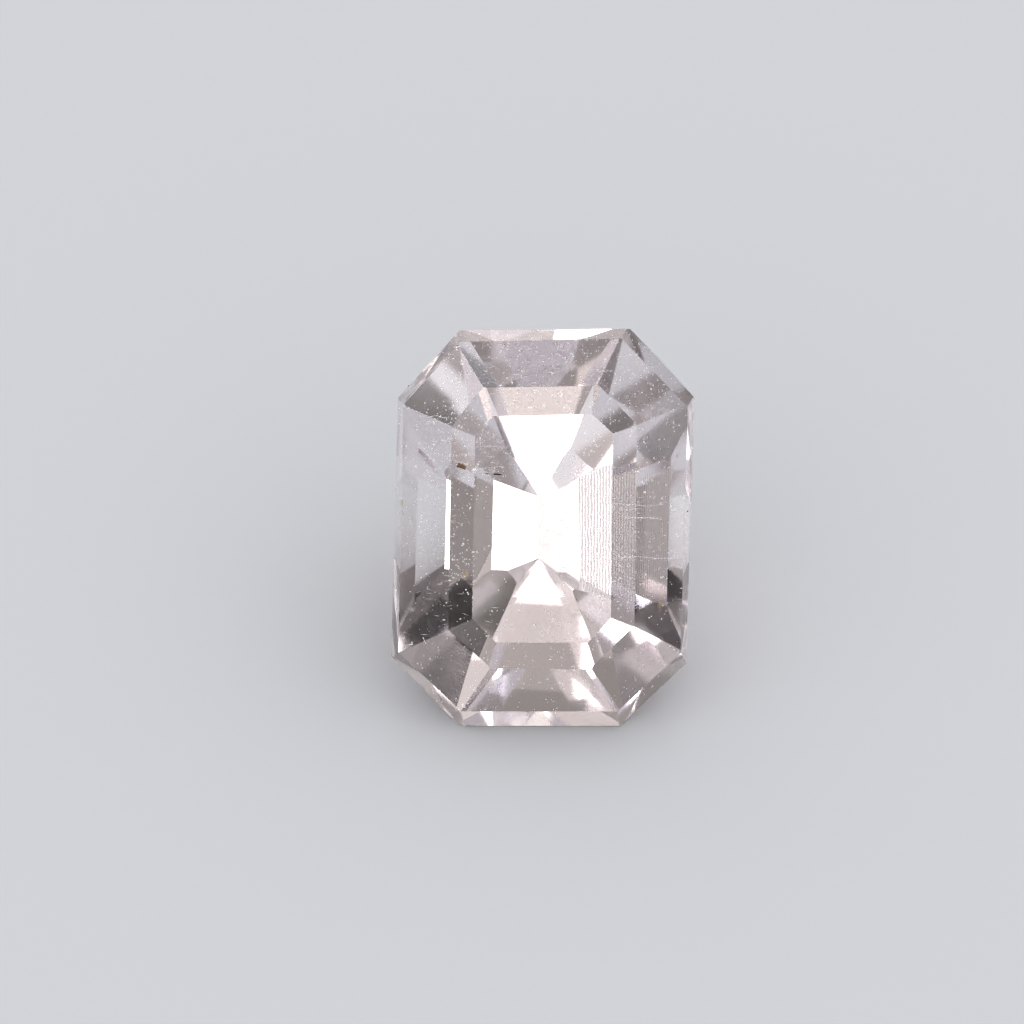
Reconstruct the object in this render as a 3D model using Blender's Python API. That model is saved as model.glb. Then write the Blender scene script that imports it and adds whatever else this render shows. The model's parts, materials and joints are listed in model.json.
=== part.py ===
"""A kunzite cut as a stepped octagon, lying on one of its pavilion facets.

Lengths are metres and +Z is up. The stone is drawn in its own frame, with the table facing +Z,
the head end at +Y and the girdle's lower edge at z = 0, and the object's rotation and location
then lean it back on the facet that it rests on. Every facet is one flat cut through a block.
"""

import math

import bmesh
import bpy
from mathutils import Matrix, Vector

MM = 0.001

# The eight sides, clockwise from the head end as the table is looked at.
SIDES = ("head", "head_right", "right", "foot_right", "foot", "foot_left", "left", "head_left")

# Height of each level above the girdle's lower edge, in millimetres. The keel is the lowest edge.
GIRDLE_TOP = 0.11
RIM_TOP = 0.58
STEP_TOP = 1.20
TABLE_HEIGHT = 1.31
KEEL_DEPTH = 3.60

# How far each side's edge stands from the stone's axis at each level, in millimetres, and which
# way that edge faces, in degrees counterclockwise from +X. It is a hand-cut stone, so both wander.
GIRDLE_REACH = (4.06, 4.08, 3.00, 3.99, 4.01, 4.02, 3.02, 3.98)
GIRDLE_BEARING = (90.8, 42.6, -1.6, -46.3, -89.7, -135.8, 178.8, 137.9)
RIM_REACH = (3.84, 3.84, 2.87, 3.76, 3.71, 3.84, 2.89, 3.80)
RIM_BEARING = (91.4, 44.6, -1.2, -46.6, -89.9, -132.9, 179.1, 138.6)
STEP_REACH = (2.89, 2.84, 1.88, 2.71, 2.84, 2.81, 1.89, 2.76)
STEP_BEARING = (91.4, 45.4, -0.4, -44.6, -90.1, -132.6, 179.3, 140.4)
TABLE_REACH = (2.31, 2.39, 1.40, 2.23, 2.31, 2.31, 1.41, 2.28)
TABLE_BEARING = (91.5, 47.6, -0.4, -42.0, -90.0, -134.6, 179.3, 139.0)

# The keel: a short level edge under the table, a little left of the axis.
KEEL_SIDE = -0.07
KEEL_HEAD = 0.63
KEEL_FOOT = -0.61

# Slope of each pavilion facet from the girdle's plane, in degrees, tier by tier, and how far each
# inner facet runs outwards from the keel, in millimetres. The middle tier starts where it ends.
# The outer tier faces as the girdle does, and the two others have bearings of their own.
OUTER_SLOPE = (59.8, 58.3, 58.6, 64.4, 50.9, 63.3, 58.3, 66.6)
MIDDLE_SLOPE = (47.0, 46.8, 44.2, 47.7, 47.6, 47.0, 51.7, 48.5)
INNER_SLOPE = (41.0, 38.6, 42.0, 36.1, 46.2, 37.4, 36.9, 37.2)
INNER_RUN = (0.83, 1.17, 0.81, 0.96, 0.78, 0.67, 0.96, 1.12)
MIDDLE_BEARING = (90.6, 43.9, -1.7, -46.3, -89.7, -136.2, 178.9, 138.9)
INNER_BEARING = (90.0, 42.6, -1.9, -49.9, -89.7, -133.3, 178.9, 138.7)

# Nicks along the girdle: side, place along it from 0 to 1, ball radius and bite in millimetres.
NICKS = (
    ("foot_left", 0.82, 0.15, 0.055),
    ("foot_left", 0.55, 0.25, 0.050),
    ("head_left", 0.27, 0.13, 0.045),
    ("right", 0.04, 0.15, 0.045),
    ("foot", 0.93, 0.14, 0.040),
)

RESTING_SIDE = "foot"
BLOCK_SIZE = 16.0
WELD = 0.0015
STONE_COLOR = (0.93, 0.87, 0.90, 1.0)
STONE_IOR = 1.665


def direction(bearing):
    """The level unit vector that faces a bearing in degrees."""
    angle = math.radians(bearing)
    return Vector((math.cos(angle), math.sin(angle), 0.0))


def sloping_plane(bearing, near, far):
    """A plane through two level lines square to a bearing, each a (reach, height) pair.

    It is given as a point and the normal that faces out of the stone.
    """
    outward = direction(bearing)
    rise = far[1] - near[1]
    run = near[0] - far[0]
    normal = outward * abs(rise) + Vector((0.0, 0.0, math.copysign(abs(run), rise)))
    point = outward * near[0] + Vector((0.0, 0.0, near[1]))
    return point, normal.normalized()


def crown_planes():
    """The girdle band, the three rows of crown facets and the table, from the outside in."""
    planes = [(direction(bearing) * reach, direction(bearing)) for bearing, reach in
              zip(GIRDLE_BEARING, GIRDLE_REACH)]
    rows = (
        (RIM_BEARING, GIRDLE_REACH, GIRDLE_TOP, RIM_REACH, RIM_TOP),
        (STEP_BEARING, RIM_REACH, RIM_TOP, STEP_REACH, STEP_TOP),
        (TABLE_BEARING, STEP_REACH, STEP_TOP, TABLE_REACH, TABLE_HEIGHT),
    )
    for bearings, low_reach, low, high_reach, high in rows:
        for bearing, near, far in zip(bearings, low_reach, high_reach):
            planes.append(sloping_plane(bearing, (near, low), (far, high)))
    planes.append((Vector((0.0, 0.0, TABLE_HEIGHT)), Vector((0.0, 0.0, 1.0))))
    return planes


def keel_point(side):
    """The point of the keel that a side's inner facet runs down to."""
    if "head" in side:
        along = KEEL_HEAD
    elif "foot" in side:
        along = KEEL_FOOT
    else:
        along = (KEEL_HEAD + KEEL_FOOT) / 2
    return Vector((KEEL_SIDE, along, KEEL_DEPTH))


def pavilion_facet(bearing, slope, reach, depth):
    """The plane of a pavilion facet through a level line at a reach and a depth."""
    outward = direction(bearing)
    angle = math.radians(slope)
    normal = outward * math.sin(angle) - Vector((0.0, 0.0, math.cos(angle)))
    return outward * reach - Vector((0.0, 0.0, depth)), normal


def pavilion_planes():
    """The three tiers under the girdle, as a dictionary from (tier, side) to the plane."""
    planes = {}
    for index, side in enumerate(SIDES):
        outer, middle, inner = GIRDLE_BEARING[index], MIDDLE_BEARING[index], INNER_BEARING[index]
        keel_reach = keel_point(side).dot(direction(inner))
        inner_edge = keel_point(side).dot(direction(middle)) + INNER_RUN[index]
        inner_depth = KEEL_DEPTH - INNER_RUN[index] * math.tan(math.radians(INNER_SLOPE[index]))
        planes["outer", side] = pavilion_facet(outer, OUTER_SLOPE[index], GIRDLE_REACH[index], 0.0)
        planes["middle", side] = pavilion_facet(middle, MIDDLE_SLOPE[index], inner_edge, inner_depth)
        planes["inner", side] = pavilion_facet(inner, INNER_SLOPE[index], keel_reach, KEEL_DEPTH)
    return planes


def cut_block(planes):
    """A block cut back by every plane in turn, each cut closed with one flat facet."""
    shape = bmesh.new()
    bmesh.ops.create_cube(shape, size=BLOCK_SIZE)
    for point, normal in planes:
        whole = shape.verts[:] + shape.edges[:] + shape.faces[:]
        cut = bmesh.ops.bisect_plane(
            shape, geom=whole, dist=1e-7, plane_co=point, plane_no=normal, clear_outer=True)
        rim = [item for item in cut["geom_cut"] if isinstance(item, bmesh.types.BMEdge)]
        open_rim = [edge for edge in rim if edge.is_boundary]
        if open_rim:
            bmesh.ops.edgeloop_fill(shape, edges=open_rim)
    bmesh.ops.remove_doubles(shape, verts=shape.verts, dist=WELD)
    bmesh.ops.recalc_face_normals(shape, faces=shape.faces)
    bmesh.ops.scale(shape, vec=(MM, MM, MM), verts=shape.verts)
    return shape


def stone_material():
    material = bpy.data.materials.new("pale pink stone")
    material.use_nodes = True
    surface = material.node_tree.nodes["Principled BSDF"]
    surface.inputs["Base Color"].default_value = STONE_COLOR
    surface.inputs["Metallic"].default_value = 0.0
    surface.inputs["Roughness"].default_value = 0.02
    surface.inputs["IOR"].default_value = STONE_IOR
    surface.inputs["Transmission Weight"].default_value = 1.0
    return material


def collection(name):
    group = bpy.data.collections.new(name)
    bpy.context.scene.collection.children.link(group)
    return group


def girdle_corner(index):
    """Where a girdle side meets the side before it, seen from above."""
    first = direction(GIRDLE_BEARING[index - 1])
    second = direction(GIRDLE_BEARING[index])
    reaches = Vector((GIRDLE_REACH[index - 1], GIRDLE_REACH[index]))
    corner = Matrix((first.xy, second.xy)).inverted() @ reaches
    return Vector((corner.x, corner.y, GIRDLE_TOP / 2))


def nick_the_girdle(stone, cutters):
    """Small shell-shaped nicks, each cut by a ball that overlaps the girdle's edge."""
    for number, (side, place, radius, bite) in enumerate(NICKS, start=1):
        index = SIDES.index(side)
        start = girdle_corner(index)
        end = girdle_corner((index + 1) % len(SIDES))
        center = start.lerp(end, place) + direction(GIRDLE_BEARING[index]) * (radius - bite)
        mesh = bpy.data.meshes.new(f"nick {number}")
        ball = bmesh.new()
        bmesh.ops.create_icosphere(ball, subdivisions=3, radius=radius * MM)
        ball.to_mesh(mesh)
        ball.free()
        cutter = bpy.data.objects.new(f"nick_{number}", mesh)
        cutter.parent = stone
        cutter.location = center * MM
        cutter.hide_render = True
        cutter.display_type = "WIRE"
        cutters.objects.link(cutter)
        cut = stone.modifiers.new(cutter.name, "BOOLEAN")
        cut.operation = "DIFFERENCE"
        cut.solver = "EXACT"
        cut.object = cutter


def lean_back(stone, shape, facet):
    """Turn the stone until the resting facet faces straight down, and set its box on the origin."""
    normal = facet[1]
    lean = math.atan2(-normal.y, -normal.z)
    roll = Vector((normal.x, math.hypot(normal.y, normal.z)))
    turn = Matrix.Rotation(lean, 3, "X")
    level = turn @ normal
    turn = Matrix.Rotation(math.atan2(level.x, roll.y), 3, "Y") @ turn
    corners = [turn @ vertex.co for vertex in shape.verts]
    low = Vector([min(corner[axis] for corner in corners) for axis in range(3)])
    high = Vector([max(corner[axis] for corner in corners) for axis in range(3)])
    stone.rotation_euler = turn.to_euler()
    stone.location = (-(low.x + high.x) / 2, -(low.y + high.y) / 2, -low.z)


def build():
    for thing in list(bpy.data.objects):
        bpy.data.objects.remove(thing)
    parts = collection("kunzite_gem")
    cutters = collection("cutters")
    tiers = pavilion_planes()
    shape = cut_block(crown_planes() + list(tiers.values()))
    mesh = bpy.data.meshes.new("kunzite")
    shape.to_mesh(mesh)
    stone = bpy.data.objects.new("kunzite", mesh)
    mesh.materials.append(stone_material())
    parts.objects.link(stone)
    lean_back(stone, shape, tiers["middle", RESTING_SIDE])
    shape.free()
    nick_the_girdle(stone, cutters)


build()
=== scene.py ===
"""The looks of the faceted kunzite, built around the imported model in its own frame, in metres."""

import json
import math
import random

import bmesh
import bpy
from mathutils import Matrix, Vector
from mathutils.bvhtree import BVHTree


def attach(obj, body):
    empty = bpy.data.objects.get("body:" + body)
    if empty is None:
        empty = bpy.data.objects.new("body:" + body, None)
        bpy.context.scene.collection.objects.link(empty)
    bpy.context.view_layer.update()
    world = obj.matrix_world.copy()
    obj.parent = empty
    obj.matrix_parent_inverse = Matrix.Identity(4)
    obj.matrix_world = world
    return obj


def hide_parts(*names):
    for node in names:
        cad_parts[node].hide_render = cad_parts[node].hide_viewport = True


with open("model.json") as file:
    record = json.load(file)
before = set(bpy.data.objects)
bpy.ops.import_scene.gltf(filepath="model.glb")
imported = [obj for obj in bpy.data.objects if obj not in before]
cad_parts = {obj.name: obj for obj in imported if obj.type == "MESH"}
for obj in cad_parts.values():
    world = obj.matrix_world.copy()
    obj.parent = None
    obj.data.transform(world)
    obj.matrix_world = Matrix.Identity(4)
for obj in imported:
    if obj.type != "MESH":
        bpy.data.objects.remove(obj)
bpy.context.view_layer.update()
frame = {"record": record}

MM = 0.001

# The photograph: a pixel's size at the stone, and the pixel over the middle of the girdle.
PIXEL = 0.0203 * MM
PHOTO_SIZE = 1024
STONE_PIXEL = (543.0, 529.0)
CAMERA_DISTANCE = 400 * MM
CAMERA_RANGE = (1 * MM, 5.0)
SENSOR = 36.0

# The worn edges of the crown, which reaches from the table down into the girdle.
EDGE_WIDTH = 0.009 * MM
SHORTEST_WORN_EDGE = 8 * EDGE_WIDTH
FLATTEST_WORN_EDGE = math.radians(1.5)
CROWN_DEPTH = 1.26 * MM

# The crystal, which takes a little light and leaves the rest a little pink.
STONE_IOR = 1.665
ABSORB_COLOR = (0.72, 0.42, 0.56, 1.0)
ABSORB_DENSITY = 11.0

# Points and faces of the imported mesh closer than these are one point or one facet.
SAME_POINT = 0.5e-6
SAME_FACET = math.radians(0.05)

# Each kind of face: its roughness, its clear share and the depth of its polish lines.
CROWN_FINISH = (0.0, 1.0, 0.0)
# The worn crown edges are real bevels, frosted nearly opaque white to paint a highlight along each
# edge.
CROWN_EDGE_HIGHLIGHT_FINISH = (0.30, 0.12, 0.0)
GIRDLE_FINISH = (0.25, 1.0, 0.0)
PAVILION_FINISH = (0.07, 1.0, 0.0)
LINED_FINISH = (0.07, 1.0, 1.0)

# How faces are told apart, as cosines: the girdle to the table's normal, and the lined facet,
# the middle one under the right side, to the right and to the table's normal.
GIRDLE_TURN = 0.05
LINED_SIDE = 0.6
LINED_TURN = (0.705, 0.73)

# The polish lines: how close they are, how far they wander and how finely, and how deep they are.
POLISH_LINE_SCALE = 5200.0
POLISH_LINE_WANDER = 3.0
POLISH_LINE_DETAIL = 2.0
POLISH_LINE_HEIGHT = 0.0003 * MM

mounts = {mount["name"]: mount for mount in frame["record"]["mounts"]}
TABLE_NORMAL = Vector(mounts["table"]["axis"]).normalized()
TABLE_POINT = Vector(mounts["table"]["pos_m"])
RIGHT = Vector((0.0, 0.0, 1.0)).cross(TABLE_NORMAL).normalized()
HEADWARD = TABLE_NORMAL.cross(RIGHT).normalized()


def photo_point(x, y):
    """The point of the table's plane that a pixel of the photograph looks at.

    The table's mount is where the stone's axis comes out of it.
    """
    across = (x - STONE_PIXEL[0]) * PIXEL
    along = (STONE_PIXEL[1] - y) * PIXEL
    return TABLE_POINT + RIGHT * across + HEADWARD * along


def add_camera():
    """A long lens that looks straight at the table and frames the stone as the photograph does."""
    camera = bpy.data.objects.new("camera", bpy.data.cameras.new("camera"))
    bpy.context.scene.collection.objects.link(camera)
    aim = photo_point(PHOTO_SIZE / 2, PHOTO_SIZE / 2)
    turn = Matrix((RIGHT, HEADWARD, TABLE_NORMAL)).transposed().to_4x4()
    camera.matrix_world = Matrix.Translation(aim + TABLE_NORMAL * CAMERA_DISTANCE) @ turn
    camera.data.sensor_width = SENSOR
    camera.data.lens = SENSOR * CAMERA_DISTANCE / (PHOTO_SIZE * PIXEL)
    camera.data.clip_start, camera.data.clip_end = CAMERA_RANGE
    bpy.context.scene.camera = camera


def stone_material():
    """The crystal; each face carries its own roughness, clear share and depth of polish lines."""
    material = bpy.data.materials.new("kunzite_crystal")
    material.use_nodes = True
    tree = material.node_tree
    surface = tree.nodes["Principled BSDF"]
    surface.inputs["Base Color"].default_value = (1.0, 1.0, 1.0, 1.0)
    surface.inputs["IOR"].default_value = STONE_IOR
    for name, socket in (("roughness", "Roughness"), ("clear", "Transmission Weight")):
        value = tree.nodes.new("ShaderNodeAttribute")
        value.attribute_name = name
        tree.links.new(value.outputs["Fac"], surface.inputs[socket])
    add_polish_lines(tree, surface)
    absorption = tree.nodes.new("ShaderNodeVolumeAbsorption")
    absorption.inputs["Color"].default_value = ABSORB_COLOR
    absorption.inputs["Density"].default_value = ABSORB_DENSITY
    output = tree.nodes["Material Output"]
    tree.links.new(absorption.outputs["Volume"], output.inputs["Volume"])
    return material


def add_polish_lines(tree, surface):
    """Fine uneven lines from the polishing wheel, along the stone."""
    coordinates = tree.nodes.new("ShaderNodeTexCoord")
    lines = tree.nodes.new("ShaderNodeTexWave")
    lines.wave_type = "BANDS"
    lines.bands_direction = "X"
    lines.inputs["Scale"].default_value = POLISH_LINE_SCALE
    lines.inputs["Distortion"].default_value = POLISH_LINE_WANDER
    lines.inputs["Detail"].default_value = POLISH_LINE_DETAIL
    share = tree.nodes.new("ShaderNodeAttribute")
    share.attribute_name = "lines"
    lined = tree.nodes.new("ShaderNodeBump")
    lined.inputs["Distance"].default_value = POLISH_LINE_HEIGHT
    tree.links.new(coordinates.outputs["Object"], lines.inputs["Vector"])
    tree.links.new(lines.outputs["Fac"], lined.inputs["Height"])
    tree.links.new(share.outputs["Fac"], lined.inputs["Strength"])
    tree.links.new(lined.outputs["Normal"], surface.inputs["Normal"])


def link(name, mesh):
    piece = bpy.data.objects.new(name, mesh)
    bpy.context.scene.collection.objects.link(piece)
    return piece


def height(point):
    """How far a point is above the table's plane, which is negative for all of the stone."""
    return (point - TABLE_POINT).dot(TABLE_NORMAL)


def face_finish(face, worn):
    """Which of the finishes a face has, by the way it faces."""
    facing = face.normal.dot(TABLE_NORMAL)
    # Worn crown edges take the near-white frost that paints their highlight.
    if worn:
        return CROWN_EDGE_HIGHLIGHT_FINISH
    if abs(facing) < GIRDLE_TURN:
        return GIRDLE_FINISH
    if facing > 0.0:
        return CROWN_FINISH
    if face.normal.dot(RIGHT) > LINED_SIDE and LINED_TURN[0] < -facing < LINED_TURN[1]:
        return LINED_FINISH
    return PAVILION_FINISH


def add_stone():
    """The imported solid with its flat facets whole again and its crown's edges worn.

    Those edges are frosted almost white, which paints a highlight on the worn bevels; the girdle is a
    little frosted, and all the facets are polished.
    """
    shape = bmesh.new()
    shape.from_mesh(bpy.data.objects["kunzite"].data)
    bmesh.ops.remove_doubles(shape, verts=shape.verts, dist=SAME_POINT)
    bmesh.ops.dissolve_limit(shape, angle_limit=SAME_FACET, verts=shape.verts, edges=shape.edges)
    worn = [edge for edge in shape.edges if edge.calc_length() > SHORTEST_WORN_EDGE
            and edge.calc_face_angle(0.0) > FLATTEST_WORN_EDGE
            and min(height(corner.co) for corner in edge.verts) > -CROWN_DEPTH]
    softened = bmesh.ops.bevel(shape, geom=worn, offset=EDGE_WIDTH, segments=1, profile=0.5,
                               affect="EDGES", clamp_overlap=True)
    finish = {name: shape.faces.layers.float.new(name) for name in ("roughness", "clear", "lines")}
    worn_edge_highlights = {face for face in softened["faces"] if face.is_valid}
    for face in shape.faces:
        face.smooth = False
        for layer, value in zip(finish.values(), face_finish(face, face in worn_edge_highlights)):
            face[layer] = value
    mesh = bpy.data.meshes.new("stone")
    shape.to_mesh(mesh)
    shape.free()
    mesh.materials.append(stone_material())
    stone = link("kunzite_stone", mesh)
    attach(stone, "root")
    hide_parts("kunzite")


def plain_material(name, color, roughness, painted_glow=0.0):
    """A plain surface; inclusions and dust shine a little with painted light, for the light scattered
    in them.
    """
    material = bpy.data.materials.new(name)
    material.use_nodes = True
    surface = material.node_tree.nodes["Principled BSDF"]
    surface.inputs["Base Color"].default_value = (*color, 1.0)
    surface.inputs["Roughness"].default_value = roughness
    surface.inputs["Emission Color"].default_value = (*color, 1.0)
    surface.inputs["Emission Strength"].default_value = painted_glow
    return material


def packed_tree():
    """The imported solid, ready to be looked at with straight rays."""
    shape = bmesh.new()
    shape.from_mesh(bpy.data.objects["kunzite"].data)
    tree = BVHTree.FromBMesh(shape)
    shape.free()
    return tree


def on_stone(x, y, depth=0.0):
    """The point under a pixel of the photograph, this deep below the stone's surface, or None."""
    start = photo_point(x, y) + TABLE_NORMAL * CAMERA_DISTANCE
    hit = solid_tree.ray_cast(start, -TABLE_NORMAL)[0]
    if hit is None:
        return None
    return hit - TABLE_NORMAL * depth


def place(shape, mesh_points, faces):
    """Add one small closed form to a joined mesh."""
    corners = [shape.verts.new(point) for point in mesh_points]
    for face in faces:
        shape.faces.new([corners[index] for index in face])


OCTAHEDRON = (
    ((1, 0, 0), (-1, 0, 0), (0, 1, 0), (0, -1, 0), (0, 0, 1), (0, 0, -1)),
    ((0, 2, 4), (2, 1, 4), (1, 3, 4), (3, 0, 4), (2, 0, 5), (1, 2, 5), (3, 1, 5), (0, 3, 5)),
)
GRAIN_UNEVENNESS = (0.7, 1.2)


def add_grain(shape, center, radii, chance):
    """A grain of uneven shape, turned at random."""
    angle = chance.uniform(0, math.tau)
    turn = Matrix.Rotation(angle, 3, Vector((chance.gauss(0, 1), chance.gauss(0, 1), 1)))
    corners, faces = OCTAHEDRON
    points = []
    for corner in corners:
        local = Vector([axis * radius * chance.uniform(*GRAIN_UNEVENNESS)
                        for axis, radius in zip(corner, radii)])
        points.append(center + turn @ local)
    place(shape, points, faces)


def add_needle(shape, start, end, radius):
    """A four-sided sliver that tapers to a point at both ends."""
    along = end - start
    across = along.orthogonal().normalized() * radius
    other = along.cross(across).normalized() * radius
    middle = (start + end) / 2
    points = [middle + across, middle - across, middle + other, middle - other, end, start]
    place(shape, points, OCTAHEDRON[1])


def finish_piece(name, shape, material):
    bmesh.ops.recalc_face_normals(shape, faces=shape.faces)
    mesh = bpy.data.meshes.new(name)
    shape.to_mesh(mesh)
    shape.free()
    mesh.materials.append(material)
    piece = link(name, mesh)
    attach(piece, "root")
    return piece


# Where specks are thick, as boxes of photo pixels: left, top, right, bottom, and how many.
SPECK_FIELDS = (
    (443, 333, 492, 403, 130),
    (492, 333, 568, 412, 180),
    (568, 333, 672, 428, 360),
    (417, 403, 492, 503, 320),
    (492, 430, 522, 480, 60),
    (417, 503, 475, 560, 110),
    (417, 560, 475, 610, 50),
    (452, 550, 474, 580, 50),
    (396, 400, 417, 660, 45),
    (593, 428, 672, 500, 90),
    (556, 430, 604, 480, 90),
    (593, 500, 672, 610, 180),
    (672, 340, 692, 700, 60),
    (420, 610, 600, 712, 300),
    (600, 610, 690, 712, 90),
    (475, 480, 593, 610, 60),
)

# The specks' radii in pixels, with large ones rare, and how far they are stretched and flattened.
SPECK_RADIUS = (0.32, 1.0)
SPECK_RARITY = 2.2
SPECK_STRETCH = (0.8, 2.2)
SPECK_FLATNESS = 0.8

# How many of the specks are dust, how far dust stands off the stone in its own radii, and how far
# under the surface the other specks lie, in millimetres.
DUST_SHARE = 0.45
DUST_LIFT = 0.2
SPECK_DEPTH = (0.01, 0.5)


def add_specks():
    """Pale specks that shine with painted light: some are dust on the crown, the rest are grains just
    inside the crystal.
    """
    chance = random.Random(7)
    inside = bmesh.new()
    dust = bmesh.new()
    for left, top, right, bottom, count in SPECK_FIELDS:
        for _ in range(count):
            x = chance.uniform(left, right)
            y = chance.uniform(top, bottom)
            size = chance.uniform(0, 1) ** SPECK_RARITY
            radius = PIXEL * (SPECK_RADIUS[0] + size * (SPECK_RADIUS[1] - SPECK_RADIUS[0]))
            radii = (radius * chance.uniform(*SPECK_STRETCH), radius, radius * SPECK_FLATNESS)
            if chance.random() < DUST_SHARE:
                center = on_stone(x, y, -radius * DUST_LIFT)
                if center is not None:
                    add_grain(dust, center, radii, chance)
            else:
                center = on_stone(x, y, radius * 2 + chance.uniform(*SPECK_DEPTH) * MM)
                if center is not None:
                    add_grain(inside, center, radii, chance)
    # Both kinds shine with painted light on top of their pale colour, the grains strongly and the dust
    # faintly.
    grain = plain_material("pale_specks_painted_light", color=(0.97, 0.96, 0.94), roughness=0.6, painted_glow=0.8)
    finish_piece("specks_inside", inside, grain)
    powder = plain_material("pale_dust_painted_light", color=(0.95, 0.94, 0.92), roughness=0.7, painted_glow=0.15)
    finish_piece("dust", dust, powder)


# Fields of short needles that lie across the stone: left, top, right, bottom, and how many.
NEEDLE_FIELDS = (
    (425, 440, 500, 480, 34),
    (465, 345, 600, 400, 40),
    (400, 580, 500, 640, 12),
    (610, 495, 688, 520, 30),
    (600, 340, 680, 420, 14),
    (430, 480, 475, 600, 16),
    (480, 420, 600, 640, 12),
)

# The needles' lengths and radii in pixels, their slope across the photograph and their depth under
# the surface in millimetres. Where the surface falls away, so that a needle would come out longer
# than this many times its length, it is left out.
NEEDLE_LENGTH = (2.0, 11.0)
NEEDLE_RADIUS = (0.12, 0.35)
NEEDLE_SLOPE = 0.06
NEEDLE_DEPTH = (0.03, 0.35)
NEEDLE_LONGEST = 2


def add_needles():
    """Fine hollow needles, most of them level across the stone, pale and shining a little with painted
    light.
    """
    chance = random.Random(11)
    shape = bmesh.new()
    for left, top, right, bottom, count in NEEDLE_FIELDS:
        for _ in range(count):
            x = chance.uniform(left, right)
            y = chance.uniform(top, bottom)
            length = chance.uniform(*NEEDLE_LENGTH)
            tilt = chance.gauss(0.0, NEEDLE_SLOPE)
            depth = chance.uniform(*NEEDLE_DEPTH) * MM
            start = on_stone(x - length / 2, y + tilt * length, depth)
            end = on_stone(x + length / 2, y - tilt * length, depth)
            if start is None or end is None:
                continue
            if (end - start).length < NEEDLE_LONGEST * length * PIXEL:
                add_needle(shape, start, end, chance.uniform(*NEEDLE_RADIUS) * PIXEL)
    # The needles shine a little with painted light.
    pale = plain_material("pale_needles_painted_light", color=(0.93, 0.93, 0.95), roughness=0.4, painted_glow=0.4)
    finish_piece("needles", shape, pale)


# A crack's thread of needles: a step along it in pixels, where each needle starts and ends in
# steps, how far it strays and how long it may be in pixels, and how its width varies.
THREAD_STEP = 3.0
THREAD_REACH = (-0.1, 1.15)
THREAD_STRAY = 0.12
THREAD_LONGEST = 10
THREAD_WIDTH = (0.5, 1.2)


def add_ribbon(shape, route, width, depth, chance):
    """A broken thread of short needles along photo pixels, following the stone's surface."""
    for first, second in zip(route, route[1:]):
        steps = max(1, round(math.dist(first, second) / THREAD_STEP))
        for step in range(steps):
            spots = []
            for reach in THREAD_REACH:
                share = (step + reach) / steps
                x = first[0] + (second[0] - first[0]) * share
                y = first[1] + (second[1] - first[1]) * share + chance.gauss(0.0, THREAD_STRAY)
                spots.append(on_stone(x, y, depth))
            if None not in spots and (spots[1] - spots[0]).length < THREAD_LONGEST * PIXEL:
                add_needle(shape, *spots, width * chance.uniform(*THREAD_WIDTH) * PIXEL)


# The healed cracks, as routes of photo pixels with a half width in pixels.
CRACKS = (
    (((574, 558.0), (590, 558.6), (612, 558.8), (636, 556.5), (660, 558.5), (688, 557.0)), 0.42),
    (((428, 417.5), (436, 415.5), (444, 418.0), (450, 417.0)), 0.30),
    (((428, 421.5), (438, 421.0), (447, 424.5), (452, 422.5)), 0.30),
    (((446, 456.5), (458, 455.5), (470, 453.5)), 0.35),
    (((476, 470.0), (490, 467.5), (504, 466.0)), 0.30),
    (((476, 447.0), (492, 446.0), (508, 447.5)), 0.25),
    (((612, 503.5), (628, 504.5), (646, 506.0), (662, 504.5)), 0.30),
    (((624, 517.0), (640, 518.0), (652, 517.5), (662, 519.5)), 0.45),
    (((488, 363.0), (500, 370.0)), 0.25),
    (((596, 371.5), (612, 371.0)), 0.30),
)
CRACK_DEPTH = 0.03 * MM


def add_cracks():
    """The feather across the right side and the smaller healed cracks, as pale broken threads that
    shine a little with painted light.
    """
    chance = random.Random(5)
    shape = bmesh.new()
    for route, width in CRACKS:
        add_ribbon(shape, route, width, CRACK_DEPTH, chance)
    # The threads shine a little with painted light.
    pale = plain_material("pale_crack_painted_light", color=(0.94, 0.93, 0.96), roughness=0.3, painted_glow=0.5)
    finish_piece("healed_cracks", shape, pale)


# Stained flakes: middle in photo pixels, half sizes in pixels along and down, and the lean.
BROWN_FLAKES = (
    (461.5, 466.0, 5.5, 2.6, -0.45),
)
DARK_FLAKES = (
    (497.0, 474.3, 5.0, 0.8, -0.05),
    (487.5, 473.8, 3.5, 0.4, -0.1),
    (457.8, 466.3, 1.1, 0.8, 0.0),
    (408.5, 386.0, 1.0, 1.2, 0.0),
    (686.5, 400.0, 0.7, 0.7, 0.0),
    (687.5, 511.5, 1.2, 0.9, 0.0),
)

# A flake's outline: its corners and how unevenly they reach out, and half its thickness in pixels.
FLAKE_CORNERS = 11
FLAKE_UNEVENNESS = (0.7, 1.1)
FLAKE_HALF_THICKNESS = 0.25


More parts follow.
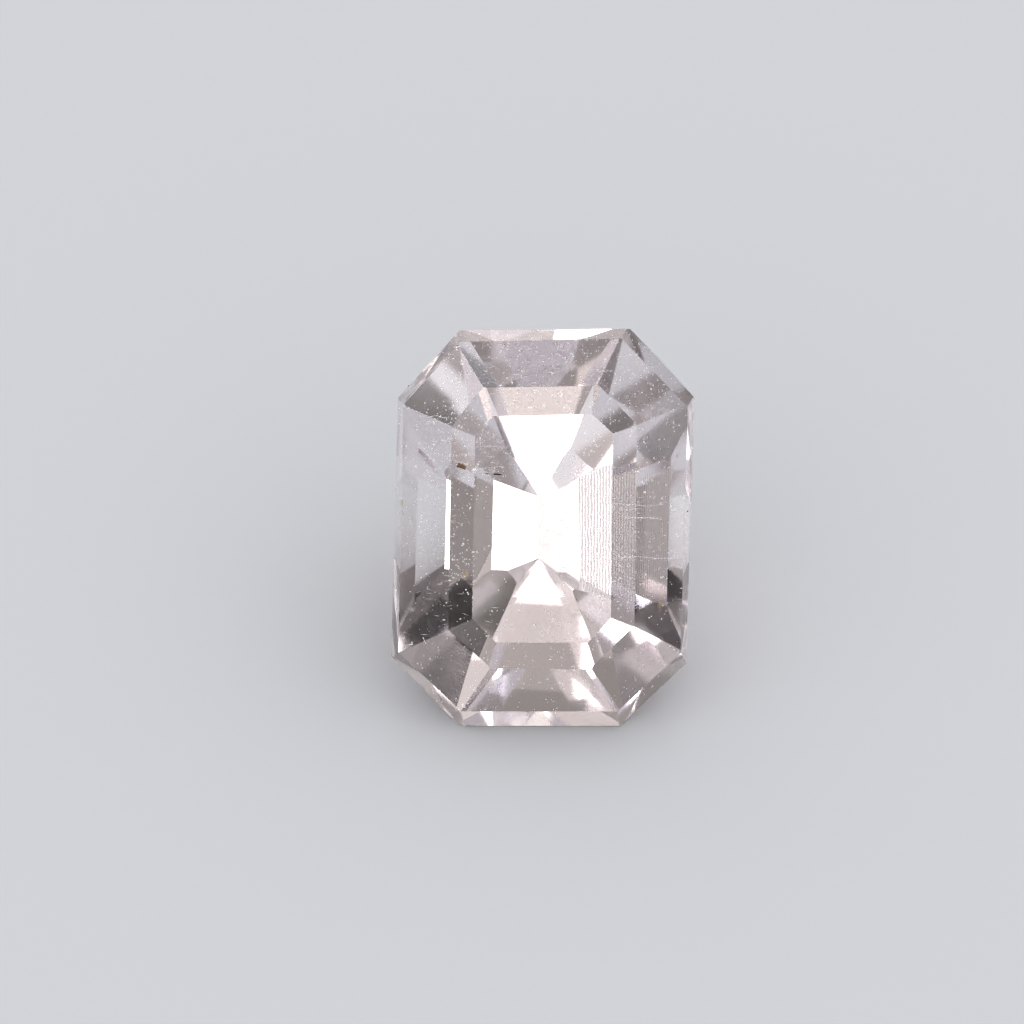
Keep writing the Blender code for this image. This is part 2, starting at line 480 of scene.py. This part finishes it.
def add_flakes(name, flakes, color, depth):
    """Thin uneven plates that lie just under the surface."""
    chance = random.Random(3)
    shape = bmesh.new()
    for x, y, along, down, lean in flakes:
        center = on_stone(x, y, depth)
        if center is None:
            continue
        outline = []
        for corner in range(FLAKE_CORNERS):
            angle = math.tau * corner / FLAKE_CORNERS
            reach = chance.uniform(*FLAKE_UNEVENNESS)
            across = math.cos(angle) * along * reach
            up = math.sin(angle) * down * reach
            sideways = RIGHT * (across - lean * up) * PIXEL
            outline.append(sideways + HEADWARD * (up + lean * across) * PIXEL)
        lift = TABLE_NORMAL * FLAKE_HALF_THICKNESS * PIXEL
        points = [center + lift] + [center + edge for edge in outline] + [center - lift]
        last = FLAKE_CORNERS + 1
        faces = []
        for corner in range(FLAKE_CORNERS):
            after = (corner + 1) % FLAKE_CORNERS
            faces.append((0, 1 + corner, 1 + after))
            faces.append((last, 1 + after, 1 + corner))
        place(shape, points, faces)
    finish_piece(name, shape, plain_material(name + "_stain", color, roughness=0.5))


# A cloudy spot's corners and its rings: how far each ring reaches, in half sizes, and how much of
# the spot's cover it has.
SPOT_CORNERS = 16
SPOT_RINGS = ((0.35, 0.85), (0.7, 0.4), (1.2, 0.0))

# Soft cloudy spots deeper in the crystal: middle in photo pixels, half sizes in pixels, depth in mm.
HAZE_SPOTS = (
    (421.0, 610.0, 4.2, 3.4, 0.9),
    (406.0, 513.0, 2.6, 2.2, 0.3),
    (413.0, 521.0, 2.0, 3.2, 0.3),
    (404.0, 528.0, 2.2, 1.8, 0.3),
    (641.0, 533.0, 2.6, 2.0, 0.5),
    (649.0, 537.0, 2.2, 2.4, 0.5),
    (657.0, 532.0, 2.0, 2.0, 0.5),
    (644.0, 546.0, 3.2, 2.6, 0.6),
    (654.0, 548.0, 2.8, 3.0, 0.6),
    (618.0, 534.0, 3.4, 1.8, 0.5),
    (624.0, 546.0, 3.6, 2.4, 0.5),
    (630.0, 552.0, 2.2, 2.6, 0.5),
    (447.0, 540.0, 5.0, 2.2, 0.6),
    (436.0, 528.0, 3.2, 2.4, 0.6),
    (455.0, 522.0, 4.6, 1.6, 0.6),
)
STAIN_SPOTS = (
    (468.0, 575.0, 4.0, 5.6, 0.7),
    (402.0, 503.0, 2.6, 5.2, 0.1),
    (652.0, 606.0, 3.0, 6.0, 0.8),
)


def soft_material(name, color, cover):
    """A cloud that hides some of what is behind its middle and thins out to its rim; it shines a
    little with painted light.
    """
    # The clouds, pale haze and brown stains alike, shine a little with painted light.
    material = plain_material(name, color, roughness=0.8, painted_glow=0.25)
    tree = material.node_tree
    share = tree.nodes.new("ShaderNodeAttribute")
    share.attribute_name = "cover"
    scale = tree.nodes.new("ShaderNodeMath")
    scale.operation = "MULTIPLY"
    scale.inputs[1].default_value = cover
    tree.links.new(share.outputs["Fac"], scale.inputs[0])
    tree.links.new(scale.outputs[0], tree.nodes["Principled BSDF"].inputs["Alpha"])
    return material


def add_soft_spots(name, spots, color, cover):
    """Round clouds, each a flat disc of rings whose cover falls from its middle to its rim."""
    shape = bmesh.new()
    layer = shape.verts.layers.float.new("cover")
    for x, y, along, down, depth in spots:
        center = on_stone(x, y, depth * MM)
        if center is None:
            continue
        middle = shape.verts.new(center)
        middle[layer] = 1.0
        inner = [middle] * SPOT_CORNERS
        for reach, share in SPOT_RINGS:
            ring = []
            for corner in range(SPOT_CORNERS):
                angle = math.tau * corner / SPOT_CORNERS
                sideways = RIGHT * (math.cos(angle) * along * reach)
                step = sideways + HEADWARD * (math.sin(angle) * down * reach)
                vertex = shape.verts.new(center + step * PIXEL)
                vertex[layer] = share
                ring.append(vertex)
            for corner in range(SPOT_CORNERS):
                after = (corner + 1) % SPOT_CORNERS
                if inner[corner] is middle:
                    shape.faces.new((middle, ring[corner], ring[after]))
                else:
                    shape.faces.new((inner[corner], ring[corner], ring[after], inner[after]))
            inner = ring
    finish_piece(name, shape, soft_material(name + "_cloud", color, cover))


FLOOR_COLOR = (0.77, 0.77, 0.79)
FLOOR_HALF_WIDTH = 0.6
FLOOR_GAP = 0.02 * MM


def add_floor():
    """A plain pale floor with no sheen of its own."""
    mesh = bpy.data.meshes.new("floor")
    shape = bmesh.new()
    bmesh.ops.create_grid(shape, x_segments=1, y_segments=1, size=FLOOR_HALF_WIDTH)
    shape.to_mesh(mesh)
    shape.free()
    cover = plain_material("pale_floor", FLOOR_COLOR, roughness=0.9)
    cover.node_tree.nodes["Principled BSDF"].inputs["Specular IOR Level"].default_value = 0.0
    mesh.materials.append(cover)
    floor = link("floor", mesh)
    floor.location.z = -FLOOR_GAP


# The panels face a point at half the stone's height.
PANEL_DISTANCE = 350 * MM
STONE_MIDDLE = 3 * MM

# The tints of the studio's panels.
ROSY = (1.06, 0.99, 0.98)
CREAM = (1.07, 0.99, 0.93)
LAVENDER = (1.0, 0.98, 1.07)

# The soft round panels: bearing, elevation and angular radius in degrees, brightness and tint.
PANELS = (
    (169, 35, 20, 2.58, ROSY),
    (164, 32, 33, 0.43, ROSY),
    (85, 42, 35, 0.34, CREAM),
    (-145, 35, 35, 0.34, ROSY),
    (-87, 6, 27, 0.43, ROSY),
    (-82, 59, 12, 2.15, CREAM),
    (38, 32, 34, 0.26, ROSY),
    (90, 14, 13, 1.72, ROSY),
    (-74, 59, 32, 0.26, ROSY),
    (-79, 37, 10, 2.58, CREAM),
    (-26, 16, 28, 0.30, ROSY),
    (-56, 41, 25, 0.30, LAVENDER),
    (46, 55, 27, 0.17, ROSY),
    (-45, 37, 6, 2.58, CREAM),
    (-16, 47, 6, 2.15, LAVENDER),
    (-41, 63, 5, 2.58, LAVENDER),
    (-98, 81, 5, 2.58, LAVENDER),
    (-113, 32, 12, 0.43, CREAM),
    (-144, 40, 12, 0.43, CREAM),
    (-15, 29, 14, 0.30, ROSY),
    (-92, 80, 4, 2.58, LAVENDER),
    (120, 72, 9, 0.26, ROSY),
)

# What the room gives the floor and the camera, how dim the gaps between the panels are, and the
# gamma of the picture, which gives it the photograph's contrast.
ROOM_COLOR = (0.95, 0.96, 0.97)
DIM_COLOR = (0.004, 0.003, 0.004)
PICTURE_GAMMA = 0.72


def add_panel(number, bearing, elevation, radius, brightness, tint):
    """A round soft panel that faces the stone; angles are degrees, seen from the stone.

    It shows in the stone and leaves the floor to the room's even light. Its power is pi times its
    area for each unit of brightness.
    """
    reach = PANEL_DISTANCE * math.tan(math.radians(radius))
    data = bpy.data.lights.new(f"panel_{number}", "AREA")
    data.shape = "DISK"
    data.size = 2 * reach
    data.energy = brightness * math.pi * math.pi * reach * reach
    data.color = tint
    light = bpy.data.objects.new(f"panel_{number}", data)
    light.visible_diffuse = False
    bpy.context.scene.collection.objects.link(light)
    turn, rise = math.radians(bearing), math.radians(elevation)
    toward = Vector((math.cos(turn) * math.cos(rise), math.sin(turn) * math.cos(rise), math.sin(rise)))
    light.location = toward * PANEL_DISTANCE + Vector((0.0, 0.0, STONE_MIDDLE))
    light.rotation_euler = toward.to_track_quat("Z", "Y").to_euler()


def add_world():
    """An even pale room that the stone itself sees as dim, so that the panels draw its facets."""
    world = bpy.data.worlds.new("studio")
    bpy.context.scene.world = world
    world.use_nodes = True
    tree = world.node_tree
    background = tree.nodes["Background"]
    path = tree.nodes.new("ShaderNodeLightPath")
    through = tree.nodes.new("ShaderNodeMath")
    through.operation = "MAXIMUM"
    level = tree.nodes.new("ShaderNodeMix")
    level.data_type = "RGBA"
    factor, color_a, color_b = level.inputs[0], level.inputs[6], level.inputs[7]
    color_a.default_value = (*ROOM_COLOR, 1.0)
    color_b.default_value = (*DIM_COLOR, 1.0)
    tree.links.new(path.outputs["Is Transmission Ray"], through.inputs[0])
    tree.links.new(path.outputs["Is Glossy Ray"], through.inputs[1])
    tree.links.new(through.outputs[0], factor)
    tree.links.new(level.outputs[2], background.inputs["Color"])


def add_lights():
    add_world()
    for number, panel in enumerate(PANELS, start=1):
        add_panel(number, *panel)


def render_settings():
    bpy.context.scene.view_settings.view_transform = "Standard"
    bpy.context.scene.view_settings.gamma = PICTURE_GAMMA
    cycles = bpy.context.scene.cycles
    cycles.max_bounces = 32
    cycles.transmission_bounces = 32
    cycles.glossy_bounces = 24
    cycles.diffuse_bounces = 4


add_camera()
solid_tree = packed_tree()
add_stone()
add_specks()
add_needles()
add_cracks()
add_flakes("brown_flakes", BROWN_FLAKES, color=(0.42, 0.30, 0.14), depth=0.05 * MM)
add_flakes("dark_flakes", DARK_FLAKES, color=(0.03, 0.02, 0.015), depth=0.03 * MM)
add_soft_spots("haze", HAZE_SPOTS, color=(0.93, 0.93, 0.92), cover=0.5)
add_soft_spots("stains", STAIN_SPOTS, color=(0.72, 0.55, 0.33), cover=0.55)
add_floor()
add_lights()
render_settings()
